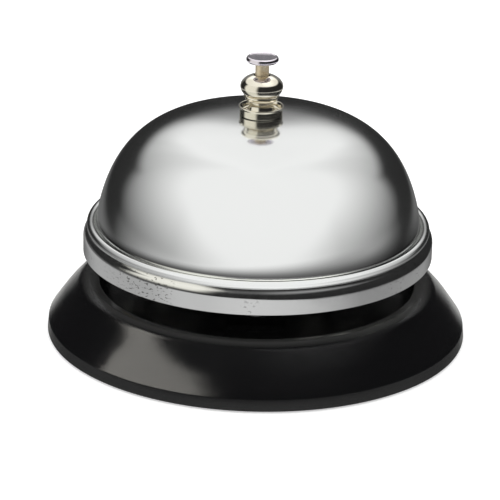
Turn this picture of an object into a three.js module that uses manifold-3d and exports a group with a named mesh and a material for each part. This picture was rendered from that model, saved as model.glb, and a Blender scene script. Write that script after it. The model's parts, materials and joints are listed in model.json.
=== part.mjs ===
// A counter service bell, in millimetres, +Z up, with its origin at the centre of the face it stands on.
// A pressed steel base carries a stamped bracket, and the bracket carries a bored post. The dome hangs on
// the post under a collar and a ball knob. A button rod runs down through the knob and the post, and its
// tip tips a pivoted striker, whose hammer swings out against the inside of the dome.
import * as THREE from "three";
import { mergeVertices } from "three/addons/utils/BufferGeometryUtils.js";
import Module from "manifold-3d";

const wasm = await Module();
wasm.setup();

// How finely round things are divided.
const SHELL_SEGMENTS = 40;
const TURNED_SEGMENTS = 24;
const SMALL_SEGMENTS = 16;
const PLATE_ARC_STEPS = 8;

// Clearances.
const SEAT_GAP = 0.1;
const STRIKE_GAP = 0.4;

// Base pan: a pressed sheet with an upright lip, a flared skirt, a rounded crest and a recessed well.
const SHEET = 0.8;
const BASE_RADIUS = 42.5;
const LIP_BOTTOM = 0.3;
const LIP_TOP = 2.9;
const CREST_RADIUS = 34;
const CREST_ROUND = 2.8;
const CREST_TOP = 11.3;
const WELL_RADIUS = 31.7;
const WELL_EDGE = 10.7;
const WELL_FLOOR = 7;

// Non-slip ring inside the lip.
const FOOT_WIDTH = 3.2;
const FOOT_HEIGHT = 2.2;

// Dome: a superellipse of revolution over a rim with a bead, a rounded shoulder and an upright band.
const DOME_WALL = 1.2;
const DOME_RADIUS = 33.69;
const DOME_WAIST = 2.77;
const DOME_TOP = 46;
const DOME_POWER = 3.277;
const RIM_RADIUS = 35.26;
const RIM_BOTTOM = 17.16;
const RIM_TOP = 20.35;
const SHOULDER_RADIUS = 1.9;
const BEAD_CENTRE = 33.66;
const BEAD_HEIGHT = 22.82;
const BEAD_RADIUS = 0.9;
const DOME_FOOT = 23.2;
const DOME_HOLE = 2.7;

// Collar and ball knob on the crown.
const COLLAR_RADIUS = 4.5;
const COLLAR_WALL = 0.35;
const COLLAR_FLOOR = 46.7;
const COLLAR_TOP = 47.95;
const NECK_RADIUS = 2.4;
const NECK_TOP = 49.3;
const KNOB_BEAD_RADIUS = 3.35;
const KNOB_GROOVE = 50.05;
const BALL_RADIUS = 4.28;
const BALL_HALF_HEIGHT = 2.5;
const BALL_CENTRE = 52;
const KNOB_BORE = 1.62;
const SHANK_RADIUS = 2.3;
const SHANK_BOTTOM = 42.6;

// Button, rod and its stop collar.
const TRAVEL = 2.7;
const ROD_RADIUS = 1.37;
const ROD_TIP = 29.4;
const BUTTON_RADIUS = 3.24;
const BUTTON_BOTTOM = BALL_CENTRE + BALL_HALF_HEIGHT + TRAVEL + 0.1;
const BUTTON_TOP = BUTTON_BOTTOM + 0.8;
const BUTTON_DISH = 0.2;
const BUTTON_SKIRT = 0.35;
const STOP_RADIUS = 2.5;
const STOP_HEIGHT = 0.8;

// Post, bracket plate and what clamps them.
const POST_RADIUS = 4;
const POST_BORE = 2.75;
const POST_GUIDE = 1.47;
const POST_TOP = 43.9;
const POST_LEDGE = 35.4;
const POST_TAIL_RADIUS = 2.6;
const POST_TAIL_BOTTOM = 30.1;
const PLATE_TOP = 34.6;
const PLATE = 1.2;
const NUT_ACROSS_FLATS = 8;
const NUT_HEIGHT = 2.1;
const LOCK_WASHER = 0.6;
const SEAT_WASHER = 0.5;

// Bracket: side plates in XZ planes, joined by the top plate, with feet turned outwards.
const BRACKET_HALF_WIDTH = 8;
const BRACKET_HALF_LENGTH = 5.5;
const FOOT_REACH = 15;
const RIVET_OFFSET = 11.6;
const RIVET_RADIUS = 1.5;
const RIVET_HEAD_RADIUS = 2.6;
const RIVET_HEAD_HEIGHT = 1.1;

// Striker: its pivot, tail, arm and hammer.
const PIVOT_X = -12;
const PIVOT_Z = 27.9;
const PIN_RADIUS = 1.25;
const PIN_HOLE = 1.35;
const PIN_HEAD_RADIUS = 2.2;
const PIN_HEAD = 0.9;
const PIN_END = 9.4;
const LEVER_THICKNESS = 1.5;
const LEVER_BOSS = 3;
const TAIL_NOSE = 1.3;
const ARM_HALF_WIDTH = 1.5;
const HAMMER_X = -25.2;
const HAMMER_Z = 18.6;
const HAMMER_RADIUS = 4;
const HAMMER_HALF_WIDTH = 3.2;
const HAMMER_SLOT_GAP = 0.15;
const HAMMER_RIVET_RADIUS = 0.9;

// Springs.
const COIL_WIRE = 0.22;
const COIL_RADIUS = 2.15;
const COIL_TURNS = 5;
const TORSION_WIRE = 0.3;
const TORSION_RADIUS = 2.05;
const TORSION_TURNS = 4;

const FLOOR_UNDERSIDE = WELL_FLOOR - SHEET;
const BRACKET_FLOOR = WELL_FLOOR + SEAT_GAP;

// ---- Shapes -------------------------------------------------------------------------------------

// Points on an arc in the radius-height plane, angles in degrees from the outward direction.
function arc(radius, height, size, from, to, steps, heightSize = size) {
  const points = [];
  for (let i = 0; i <= steps; i += 1) {
    const angle = THREE.MathUtils.degToRad(from + ((to - from) * i) / steps);
    points.push([radius + size * Math.cos(angle), height + heightSize * Math.sin(angle)]);
  }
  return points;
}

// A closed profile of [radius, height] points, up its outside and down its inside, turned about Z.
function revolve(profile, segments = TURNED_SEGMENTS) {
  const points = profile.map(([radius, height]) => new THREE.Vector2(radius, height));
  const onAxis = profile[0][0] === 0 && profile[profile.length - 1][0] === 0;
  if (!onAxis) {
    points.push(points[0].clone());
  }
  return new THREE.LatheGeometry(points, segments).rotateX(Math.PI / 2);
}

// A plain ring about Z.
function ring(outer, inner, bottom, top, segments = TURNED_SEGMENTS) {
  return revolve([[inner, bottom], [outer, bottom], [outer, top], [inner, top]], segments);
}

// A plain disc or rod about Z.
function rod(radius, bottom, top, segments = TURNED_SEGMENTS) {
  return revolve([[0, bottom], [radius, bottom], [radius, top], [0, top]], segments);
}

// Turns a shape made about Z so that it lies about Y through the pivot, its height running along +Y.
function alongPivot(geometry) {
  return geometry.rotateX(-Math.PI / 2).translate(PIVOT_X, 0, PIVOT_Z);
}

// Gives an outline in the XZ plane a thickness along Y, from nearY to farY.
function plateXZ(outline, nearY, farY) {
  const depth = farY - nearY;
  const geometry = new THREE.ExtrudeGeometry(outline, {
    depth,
    bevelEnabled: false,
    curveSegments: PLATE_ARC_STEPS,
  });
  return geometry.rotateX(Math.PI / 2).translate(0, farY, 0);
}

// Gives an outline in the XY plane a thickness along Z.
function plateXY(outline, bottom, top) {
  const geometry = new THREE.ExtrudeGeometry(outline, {
    depth: top - bottom,
    bevelEnabled: false,
    curveSegments: PLATE_ARC_STEPS,
  });
  return geometry.translate(0, 0, bottom);
}

function circleHole(shape, x, y, radius) {
  shape.holes.push(new THREE.Path().absarc(x, y, radius, 0, 2 * Math.PI, true));
  return shape;
}

// A washer or clip with a gap in it, opening towards -X of its own plane.
function splitRing(outer, inner, gapDegrees) {
  const half = THREE.MathUtils.degToRad(180 - gapDegrees / 2);
  const shape = new THREE.Shape();
  shape.absarc(0, 0, outer, -half, half, false);
  shape.absarc(0, 0, inner, half, -half, true);
  return shape;
}

class Helix extends THREE.Curve {
  constructor(radius, bottom, top, turns, startAngle = 0) {
    super();
    Object.assign(this, { radius, bottom, top, turns, startAngle });
  }

  getPoint(t, target = new THREE.Vector3()) {
    const angle = this.startAngle + 2 * Math.PI * this.turns * t;
    const height = this.bottom + (this.top - this.bottom) * t;
    return target.set(this.radius * Math.cos(angle), this.radius * Math.sin(angle), height);
  }
}

// A wire of round section along a curve.
function wire(path, radius, steps) {
  const section = new THREE.Shape().absarc(0, 0, radius, 0, 2 * Math.PI, false);
  return new THREE.ExtrudeGeometry(section, {
    extrudePath: path,
    steps,
    curveSegments: 3,
    bevelEnabled: false,
  });
}

// ---- Joining and cutting ------------------------------------------------------------------------

// A closed geometry as a solid that can be joined or cut.
function solid(geometry) {
  const bare = new THREE.BufferGeometry();
  bare.setAttribute("position", geometry.getAttribute("position"));
  bare.setIndex(geometry.getIndex());
  const merged = mergeVertices(bare, 1e-4);
  const corners = merged.index.array;
  const kept = [];
  for (let i = 0; i < corners.length; i += 3) {
    const [a, b, c] = [corners[i], corners[i + 1], corners[i + 2]];
    if (a !== b && b !== c && c !== a) {
      kept.push(a, b, c);
    }
  }
  return new wasm.Manifold(
    new wasm.Mesh({
      numProp: 3,
      vertProperties: merged.getAttribute("position").array,
      triVerts: new Uint32Array(kept),
    }),
  );
}

function geometryOf(manifold) {
  const mesh = manifold.getMesh();
  const geometry = new THREE.BufferGeometry();
  geometry.setAttribute("position", new THREE.BufferAttribute(mesh.vertProperties, mesh.numProp));
  geometry.setIndex(new THREE.BufferAttribute(mesh.triVerts, 1));
  const flat = geometry.toNonIndexed();
  flat.computeVertexNormals();
  return flat;
}

function joined(...geometries) {
  return geometryOf(geometries.map(solid).reduce((all, next) => all.add(next)));
}

function cut(geometry, ...tools) {
  return geometryOf(tools.map(solid).reduce((left, tool) => left.subtract(tool), solid(geometry)));
}

// ---- Materials ----------------------------------------------------------------------------------

function material(color, roughness, metalness) {
  return new THREE.MeshStandardMaterial({ color, roughness, metalness });
}

const chrome = () => material(0xd9dbdc, 0.08, 1);
const nickel = () => material(0xd8d2c2, 0.14, 1);
const brass = () => material(0xbfa56a, 0.25, 1);
const steel = () => material(0x9b9da0, 0.35, 1);
const zincPlate = () => material(0xb4b8bd, 0.4, 1);
const springSteel = () => material(0x7d8084, 0.3, 1);
const blackLacquer = () => material(0x0b0b0c, 0.12, 0);
const blackRubber = () => material(0x1a1a1b, 0.8, 0);

// ---- Base ---------------------------------------------------------------------------------------

function basePan() {
  const skirtFoot = BASE_RADIUS - 0.3;
  const outside = [
    [BASE_RADIUS - SHEET, LIP_BOTTOM],
    [BASE_RADIUS - 0.15, LIP_BOTTOM],
    [BASE_RADIUS, LIP_BOTTOM + 0.4],
    [skirtFoot, LIP_TOP],
    [skirtFoot - 0.6, LIP_TOP + 0.75],
    [skirtFoot - 2, LIP_TOP + 2.45],
    [skirtFoot - 4.15, LIP_TOP + 5.24],
    ...arc(CREST_RADIUS, CREST_TOP - CREST_ROUND, CREST_ROUND, 30, 90, 3),
    [WELL_RADIUS + 0.4, CREST_TOP - 0.15],
    [WELL_RADIUS, WELL_EDGE],
    [WELL_RADIUS - 0.7, WELL_FLOOR + 1],
    [WELL_RADIUS - 1.7, WELL_FLOOR],
    [0, WELL_FLOOR],
  ];
  const inside = [
    [0, FLOOR_UNDERSIDE],
    [WELL_RADIUS - 1.4, FLOOR_UNDERSIDE],
    [WELL_RADIUS + 0.1, WELL_FLOOR + 0.7],
    [WELL_RADIUS + 0.8, CREST_TOP - SHEET - 0.2],
    ...arc(CREST_RADIUS, CREST_TOP - CREST_ROUND, CREST_ROUND - SHEET, 90, 30, 2),
    [skirtFoot - 4.9, LIP_TOP + 4.75],
    [skirtFoot - 2.7, LIP_TOP + 1.9],
    [skirtFoot - 1.2, LIP_TOP + 0.1],
    [skirtFoot - SHEET, LIP_TOP - 0.6],
  ];
  const pan = revolve([...inside, ...outside.slice(0, -1), [0, WELL_FLOOR]], SHELL_SEGMENTS);
  const holes = [-1, 1].map((side) =>
    rod(RIVET_RADIUS + SEAT_GAP, 0, WELL_FLOOR + 1).translate(0, side * RIVET_OFFSET, 0));
  return cut(pan, ...holes);
}

function footRing() {
  const outer = BASE_RADIUS - SHEET - 0.4;
  return ring(outer, outer - FOOT_WIDTH, 0, FOOT_HEIGHT, SHELL_SEGMENTS);
}

// ---- Dome ---------------------------------------------------------------------------------------

function domeRadiusAt(height) {
  const share = (height - DOME_WAIST) / (DOME_TOP - DOME_WAIST);
  return DOME_RADIUS * (1 - share ** DOME_POWER) ** (1 / DOME_POWER);
}

// The dome's outline from its foot to the crown's hole, with its points closer near the crown.
function domeOutline(offset, foot, steps) {
  const points = [];
  const reach = DOME_RADIUS - offset;
  const rise = DOME_TOP - DOME_WAIST - offset;
  const startAngle = Math.asin(((foot - DOME_WAIST) / rise) ** (DOME_POWER / 2));
  const endAngle = Math.acos((DOME_HOLE / reach) ** (DOME_POWER / 2));
  for (let i = 0; i <= steps; i += 1) {
    const angle = startAngle + ((endAngle - startAngle) * i) / steps;
    const radius = reach * Math.cos(angle) ** (2 / DOME_POWER);
    points.push([radius, DOME_WAIST + rise * Math.sin(angle) ** (2 / DOME_POWER)]);
  }
  return points;
}

function bellDome() {
  const rim = [
    [RIM_RADIUS - DOME_WALL, RIM_BOTTOM],
    [RIM_RADIUS - 0.2, RIM_BOTTOM],
    [RIM_RADIUS, RIM_BOTTOM + 0.25],
    ...arc(RIM_RADIUS - SHOULDER_RADIUS, RIM_TOP, SHOULDER_RADIUS, 0, 54, 3),
    ...arc(BEAD_CENTRE, BEAD_HEIGHT, BEAD_RADIUS, -42, 140, 5),
  ];
  const outside = domeOutline(0, DOME_FOOT, 14);
  const inside = domeOutline(DOME_WALL, DOME_FOOT + 1, 11).reverse();
  const rimInside = [
    [DOME_RADIUS - DOME_WALL - 1, RIM_TOP + 1.85],
    [RIM_RADIUS - DOME_WALL, RIM_TOP],
  ];
  return revolve([...rim, ...outside, ...inside, ...rimInside], SHELL_SEGMENTS);
}

// ---- Crown --------------------------------------------------------------------------------------

// A thin-lipped cup with its floor clamped between the knob's neck and the dome.
function bellCollar() {
  return revolve([
    [DOME_HOLE, DOME_TOP + SEAT_GAP],
    [COLLAR_RADIUS, DOME_TOP + SEAT_GAP],
    [COLLAR_RADIUS, COLLAR_TOP],
    [COLLAR_RADIUS - COLLAR_WALL, COLLAR_TOP],
    [COLLAR_RADIUS - COLLAR_WALL, COLLAR_FLOOR + 0.4],
    [COLLAR_RADIUS - COLLAR_WALL - 0.4, COLLAR_FLOOR],
    [DOME_HOLE, COLLAR_FLOOR],
  ]);
}

function finialKnob() {
  const neckFoot = COLLAR_FLOOR + SEAT_GAP;
  return revolve([
    [KNOB_BORE, SHANK_BOTTOM],
    [SHANK_RADIUS - 0.3, SHANK_BOTTOM],
    [SHANK_RADIUS, SHANK_BOTTOM + 0.3],
    [SHANK_RADIUS, neckFoot],
    [NECK_RADIUS + 0.9, neckFoot],
    [NECK_RADIUS + 0.9, neckFoot + 0.25],
    [NECK_RADIUS + 0.2, neckFoot + 0.6],
    [NECK_RADIUS, neckFoot + 1.1],
    [NECK_RADIUS, NECK_TOP],
    ...arc(KNOB_BEAD_RADIUS - 0.4, NECK_TOP + 0.4, 0.4, -60, 60, 3),
    [KNOB_BEAD_RADIUS - 0.15, KNOB_GROOVE],
    ...arc(0, BALL_CENTRE, BALL_RADIUS, -38, 67, 8, BALL_HALF_HEIGHT),
    [KNOB_BORE, BALL_CENTRE + BALL_HALF_HEIGHT - 0.4],
  ]);
}

// ---- Button and rod -----------------------------------------------------------------------------

function plungerRod() {
  return revolve([
    [0, ROD_TIP],
    [ROD_RADIUS * 0.6, ROD_TIP],
    [ROD_RADIUS, ROD_TIP + 0.5],
    [ROD_RADIUS, BUTTON_BOTTOM - SEAT_GAP],
    [0, BUTTON_BOTTOM - SEAT_GAP],
  ]);
}

// A dished head whose rim hangs below its underside, clear of the ball when it is pressed.
function plungerButton() {
  return revolve([
    [0, BUTTON_BOTTOM],
    [BUTTON_RADIUS - 0.75, BUTTON_BOTTOM],
    [BUTTON_RADIUS - 0.6, BUTTON_BOTTOM - BUTTON_SKIRT],
    [BUTTON_RADIUS - 0.15, BUTTON_BOTTOM - BUTTON_SKIRT],
    [BUTTON_RADIUS, BUTTON_BOTTOM - 0.05],
    [BUTTON_RADIUS, BUTTON_TOP - 0.25],
    [BUTTON_RADIUS - 0.2, BUTTON_TOP],
    [BUTTON_RADIUS - 0.5, BUTTON_TOP],
    [BUTTON_RADIUS - 0.65, BUTTON_TOP - BUTTON_DISH],
    [0, BUTTON_TOP - BUTTON_DISH],
  ]);
}

function stopCollar() {
  const top = SHANK_BOTTOM - SEAT_GAP;
  return ring(STOP_RADIUS, ROD_RADIUS + SEAT_GAP, top - STOP_HEIGHT, top);
}

function returnSpring() {
  const bottom = POST_LEDGE + COIL_WIRE + SEAT_GAP;
  const top = SHANK_BOTTOM - STOP_HEIGHT - 2 * SEAT_GAP - COIL_WIRE;
  return wire(new Helix(COIL_RADIUS, bottom, top, COIL_TURNS), COIL_WIRE, COIL_TURNS * 14);
}

// ---- Post and its clamp -------------------------------------------------------------------------

function centerPost() {
  const shoulder = PLATE_TOP + SEAT_GAP;
  return revolve([
    [POST_GUIDE, POST_TAIL_BOTTOM],
    [POST_TAIL_RADIUS - 0.3, POST_TAIL_BOTTOM],
    [POST_TAIL_RADIUS, POST_TAIL_BOTTOM + 0.3],
    [POST_TAIL_RADIUS, shoulder],
    [POST_RADIUS + 1, shoulder],
    [POST_RADIUS + 1, shoulder + 1.2],
    [POST_RADIUS, shoulder + 1.6],
    [POST_RADIUS, POST_TOP - 0.3],
    [POST_RADIUS - 0.3, POST_TOP],
    [POST_BORE, POST_TOP],
    [POST_BORE, POST_LEDGE],
    [POST_GUIDE, POST_LEDGE],
  ]);
}

function bellSeatWasher() {
  const bottom = POST_TOP + SEAT_GAP;
  return ring(POST_RADIUS + 1.2, SHANK_RADIUS + 0.2, bottom, bottom + SEAT_WASHER);
}

function postLockWasher() {
  const top = PLATE_TOP - PLATE - SEAT_GAP;
  const outline = splitRing(NUT_ACROSS_FLATS / 2, POST_TAIL_RADIUS + 0.2, 16);
  return plateXY(outline, top - LOCK_WASHER, top);
}

function postNut() {
  const top = PLATE_TOP - PLATE - LOCK_WASHER - 2 * SEAT_GAP;
  const cornerRadius = NUT_ACROSS_FLATS / Math.sqrt(3);
  const hexagon = new THREE.Shape();
  for (let i = 0; i < 6; i += 1) {
    const angle = (i * Math.PI) / 3;
    const corner = [cornerRadius * Math.cos(angle), cornerRadius * Math.sin(angle)];
    if (i === 0) {
      hexagon.moveTo(...corner);
    } else {
      hexagon.lineTo(...corner);
    }
  }
  hexagon.closePath();
  circleHole(hexagon, 0, 0, POST_TAIL_RADIUS + 0.15);
  return plateXY(hexagon, top - NUT_HEIGHT, top);
}

// ---- Bracket ------------------------------------------------------------------------------------

// One side plate: an upright leg with a lug that reaches out to the pivot.
function sidePlateOutline() {
  const lugRadius = 3.2;
  const outline = new THREE.Shape();
  outline.moveTo(-BRACKET_HALF_LENGTH, BRACKET_FLOOR);
  outline.lineTo(BRACKET_HALF_LENGTH, BRACKET_FLOOR);
  outline.lineTo(BRACKET_HALF_LENGTH, PLATE_TOP);
  outline.lineTo(-BRACKET_HALF_LENGTH, PLATE_TOP);
  outline.lineTo(PIVOT_X + 1, PIVOT_Z + lugRadius);
  outline.absarc(PIVOT_X, PIVOT_Z, lugRadius, 0.45 * Math.PI, 1.45 * Math.PI, false);
  outline.lineTo(-BRACKET_HALF_LENGTH, PIVOT_Z - 5);
  outline.closePath();
  return circleHole(outline, PIVOT_X, PIVOT_Z, PIN_HOLE);
}

function rectangle(lowX, lowY, highX, highY) {
  const shape = new THREE.Shape();
  shape.moveTo(lowX, lowY);
  shape.lineTo(highX, lowY);
  shape.lineTo(highX, highY);
  shape.lineTo(lowX, highY);
  shape.closePath();
  return shape;
}

function bracketFoot(side) {
  const near = BRACKET_HALF_WIDTH - PLATE;
  const low = Math.min(side * near, side * FOOT_REACH);
  const high = Math.max(side * near, side * FOOT_REACH);
  const outline = rectangle(-BRACKET_HALF_LENGTH, low, BRACKET_HALF_LENGTH, high);
  circleHole(outline, 0, side * RIVET_OFFSET, RIVET_RADIUS + SEAT_GAP);
  return plateXY(outline, BRACKET_FLOOR, BRACKET_FLOOR + PLATE);
}

function mechanismFrame() {
  const inner = BRACKET_HALF_WIDTH - PLATE;
  const top = rectangle(
    -BRACKET_HALF_LENGTH, -BRACKET_HALF_WIDTH, BRACKET_HALF_LENGTH, BRACKET_HALF_WIDTH);
  circleHole(top, 0, 0, POST_TAIL_RADIUS + SEAT_GAP);
  return joined(
    plateXY(top, PLATE_TOP - PLATE, PLATE_TOP),
    plateXZ(sidePlateOutline(), inner, BRACKET_HALF_WIDTH),
    plateXZ(sidePlateOutline(), -BRACKET_HALF_WIDTH, -inner),
    bracketFoot(1),
    bracketFoot(-1),
  );
}

// A rivet through a bracket foot and the well floor, with a domed head above and a flat one below.
function frameRivet() {
  const seatTop = BRACKET_FLOOR + PLATE + SEAT_GAP;
  const seatBottom = FLOOR_UNDERSIDE - SEAT_GAP;
  return revolve([
    [0, seatBottom - RIVET_HEAD_HEIGHT],
    [RIVET_HEAD_RADIUS - 0.4, seatBottom - RIVET_HEAD_HEIGHT],
    [RIVET_HEAD_RADIUS, seatBottom - RIVET_HEAD_HEIGHT + 0.4],
    [RIVET_HEAD_RADIUS, seatBottom],
    [RIVET_RADIUS, seatBottom],
    [RIVET_RADIUS, seatTop],
    [RIVET_HEAD_RADIUS, seatTop],
    ...arc(0, seatTop, RIVET_HEAD_RADIUS, 20, 90, 3, RIVET_HEAD_HEIGHT).slice(0, -1),
    [0, seatTop + RIVET_HEAD_HEIGHT],
  ], SMALL_SEGMENTS);
}

// ---- Striker ------------------------------------------------------------------------------------

// The lever's outline: a tail with a round nose under the rod, a boss at the pivot, an arm to the hammer.
function leverOutline() {
  const noseZ = ROD_TIP - STRIKE_GAP - TAIL_NOSE;
  const armAngle = Math.atan2(HAMMER_Z - PIVOT_Z, HAMMER_X - PIVOT_X);
  const side = [-Math.sin(armAngle) * ARM_HALF_WIDTH, Math.cos(armAngle) * ARM_HALF_WIDTH];
  const outline = new THREE.Shape();
  outline.moveTo(PIVOT_X + LEVER_BOSS * 0.6, PIVOT_Z - LEVER_BOSS * 0.8);
  outline.lineTo(0, noseZ - TAIL_NOSE);
  outline.absarc(0, noseZ, TAIL_NOSE, -0.5 * Math.PI, 0.5 * Math.PI, false);
  outline.lineTo(PIVOT_X + LEVER_BOSS, PIVOT_Z + 1.1);
  outline.absarc(PIVOT_X, PIVOT_Z, LEVER_BOSS, 0.12 * Math.PI, 0.93 * Math.PI, false);
  outline.lineTo(HAMMER_X - side[0], HAMMER_Z - side[1]);
  outline.absarc(HAMMER_X, HAMMER_Z, ARM_HALF_WIDTH, armAngle - 0.5 * Math.PI - 2 * Math.PI,
    armAngle + 0.5 * Math.PI - 2 * Math.PI, false);
  outline.closePath();
  circleHole(outline, PIVOT_X, PIVOT_Z, PIN_HOLE);
  circleHole(outline, HAMMER_X, HAMMER_Z, HAMMER_RIVET_RADIUS + SEAT_GAP);
  return outline;
}

function strikerLever() {
  return plateXZ(leverOutline(), -LEVER_THICKNESS / 2, LEVER_THICKNESS / 2);
}

// A turned head on a Y axis, slotted to take the arm's end, drilled for its rivet.
function hammerHead() {
  const edge = HAMMER_HALF_WIDTH - 0.8;
  const toPlace = (geometry) => geometry.rotateX(-Math.PI / 2).translate(HAMMER_X, 0, HAMMER_Z);
  const drum = toPlace(revolve([
    [0, -HAMMER_HALF_WIDTH],
    [HAMMER_RADIUS - 0.8, -HAMMER_HALF_WIDTH],
    [HAMMER_RADIUS, -edge],
    [HAMMER_RADIUS, edge],
    [HAMMER_RADIUS - 0.8, HAMMER_HALF_WIDTH],
    [0, HAMMER_HALF_WIDTH],
  ]));
  const slotHalf = LEVER_THICKNESS / 2 + HAMMER_SLOT_GAP;
  const reach = HAMMER_RADIUS + 1;
  const armAngle = Math.atan2(PIVOT_Z - HAMMER_Z, PIVOT_X - HAMMER_X);
  const slot = new THREE.BoxGeometry(reach + ARM_HALF_WIDTH + HAMMER_SLOT_GAP, 2 * slotHalf,
    2 * HAMMER_RADIUS + 2);
  slot.translate((reach - ARM_HALF_WIDTH - HAMMER_SLOT_GAP) / 2, 0, 0);
  slot.rotateY(-armAngle).translate(HAMMER_X, 0, HAMMER_Z);
  const drilling = toPlace(
    rod(HAMMER_RIVET_RADIUS + SEAT_GAP, -HAMMER_HALF_WIDTH - 1, HAMMER_HALF_WIDTH + 1));
  return cut(drum, slot, drilling);
}

function hammerRivet() {
  const face = HAMMER_HALF_WIDTH + SEAT_GAP;
  const headRadius = HAMMER_RIVET_RADIUS + 0.7;
  const headHeight = 0.5;
  return revolve([
    [0, -face - headHeight],
    [headRadius - 0.3, -face - headHeight],
    [headRadius, -face - 0.2],
    [headRadius, -face],
    [HAMMER_RIVET_RADIUS, -face],
    [HAMMER_RIVET_RADIUS, face],
    [headRadius, face],
    [headRadius, face + 0.2],
    [headRadius - 0.3, face + headHeight],
    [0, face + headHeight],
  ], SMALL_SEGMENTS).rotateX(-Math.PI / 2).translate(HAMMER_X, 0, HAMMER_Z);
}

// ---- Pivot --------------------------------------------------------------------------------------

// A pin with its head in front of the bracket and a groove for its clip behind it.
function pivotPin() {
  const headSeat = -BRACKET_HALF_WIDTH - SEAT_GAP;
  const grooveNear = BRACKET_HALF_WIDTH + SEAT_GAP;
  const grooveFar = grooveNear + 0.6;
  const grooveRadius = PIN_RADIUS - 0.35;
  return alongPivot(revolve([
    [0, headSeat - PIN_HEAD],
    [PIN_HEAD_RADIUS - 0.3, headSeat - PIN_HEAD],
    [PIN_HEAD_RADIUS, headSeat - PIN_HEAD + 0.3],
    [PIN_HEAD_RADIUS, headSeat],
    [PIN_RADIUS, headSeat],
    [PIN_RADIUS, grooveNear],
    [grooveRadius, grooveNear],
    [grooveRadius, grooveFar],
    [PIN_RADIUS, grooveFar],
    [PIN_RADIUS - 0.2, PIN_END],
    [0, PIN_END],
  ]));
}

function pivotSpacer() {
  const far = -LEVER_THICKNESS / 2 - 2 * SEAT_GAP;
  const near = -(BRACKET_HALF_WIDTH - PLATE) + 2 * SEAT_GAP;
  return alongPivot(ring(PIN_RADIUS + 0.8, PIN_HOLE, near, far));
}

function pivotClip() {
  const near = BRACKET_HALF_WIDTH + 1.5 * SEAT_GAP;
  const outline = splitRing(PIN_HEAD_RADIUS + 0.3, PIN_RADIUS - 0.25, 70);
  return alongPivot(plateXY(outline, near, near + 0.5));
}

// Coils round the pin, with one leg down the bracket's side and one along the striker's arm.
function strikerSpring() {
  const near = LEVER_THICKNESS / 2 + TORSION_WIRE + 0.25;
  const far = BRACKET_HALF_WIDTH - PLATE - TORSION_WIRE - 0.3;
  const armAngle = Math.atan2(HAMMER_Z - PIVOT_Z, HAMMER_X - PIVOT_X);
  const armLeg = -armAngle;
  const legLength = 6.5;
  const start = new THREE.Vector3(
    TORSION_RADIUS * Math.cos(armLeg + 0.5 * Math.PI),
    TORSION_RADIUS * Math.sin(armLeg + 0.5 * Math.PI),
    near,
  );
  const coil = new Helix(TORSION_RADIUS, near, far, TORSION_TURNS, armLeg + 0.5 * Math.PI);
  const along = new THREE.Vector3(Math.cos(armLeg), Math.sin(armLeg), 0);
  const points = [];
  for (let i = 3; i >= 1; i -= 1) {
    points.push(start.clone().addScaledVector(along, (legLength * i) / 3));
  }
  const coilSteps = TORSION_TURNS * 10;
  for (let i = 0; i <= coilSteps; i += 1) {
    points.push(coil.getPoint(i / coilSteps));
  }
  const end = coil.getPoint(1);
  const tangent = coil.getTangent(1).setZ(0).normalize();
  for (let i = 1; i <= 3; i += 1) {
    points.push(end.clone().addScaledVector(tangent, (legLength * i) / 3));
  }
  const path = new THREE.CatmullRomCurve3(points);
  return alongPivot(wire(path, TORSION_WIRE, 76));
}

// ---- Assembly -----------------------------------------------------------------------------------

const bell = new THREE.Group();

function add(parent, name, geometry, look) {
  const mesh = new THREE.Mesh(geometry, look);
  mesh.name = name;
  parent.add(mesh);
  return mesh;
}

const base = new THREE.Group();
bell.add(base);
add(base, "base_pan", basePan(), blackLacquer());
add(base, "foot_ring", footRing(), blackRubber());
add(base, "mechanism_frame", mechanismFrame(), blackLacquer());
add(base, "frame_rivet_front", frameRivet(), steel()).position.y = -RIVET_OFFSET;
add(base, "frame_rivet_back", frameRivet(), steel()).position.y = RIVET_OFFSET;
add(base, "center_post", centerPost(), steel());
add(base, "post_lock_washer", postLockWasher(), springSteel());
add(base, "post_nut", postNut(), zincPlate());
add(base, "bell_seat_washer", bellSeatWasher(), steel());
add(base, "bell_dome", bellDome(), chrome());
add(base, "bell_collar", bellCollar(), nickel());
add(base, "finial_knob", finialKnob(), nickel());
add(base, "return_spring", returnSpring(), springSteel());
add(base, "pivot_pin", pivotPin(), steel());
add(base, "pivot_spacer", pivotSpacer(), brass());
add(base, "pivot_clip", pivotClip(), springSteel());
add(base, "striker_spring", strikerSpring(), springSteel());

const plunger = new THREE.Group();
bell.add(plunger);
add(plunger, "plunger_rod", plungerRod(), brass());
add(plunger, "plunger_button", plungerButton(), nickel());
add(plunger, "stop_collar", stopCollar(), steel());

const striker = new THREE.Group();
bell.add(striker);
add(striker, "striker_lever", strikerLever(), zincPlate());
add(striker, "hammer_head", hammerHead(), steel());
add(striker, "hammer_rivet", hammerRivet(), steel());

export default bell;
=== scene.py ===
"""A counter service bell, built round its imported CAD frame. Profiles are in millimetres."""

import json
import math

import bpy
from mathutils import Matrix, Vector


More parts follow.
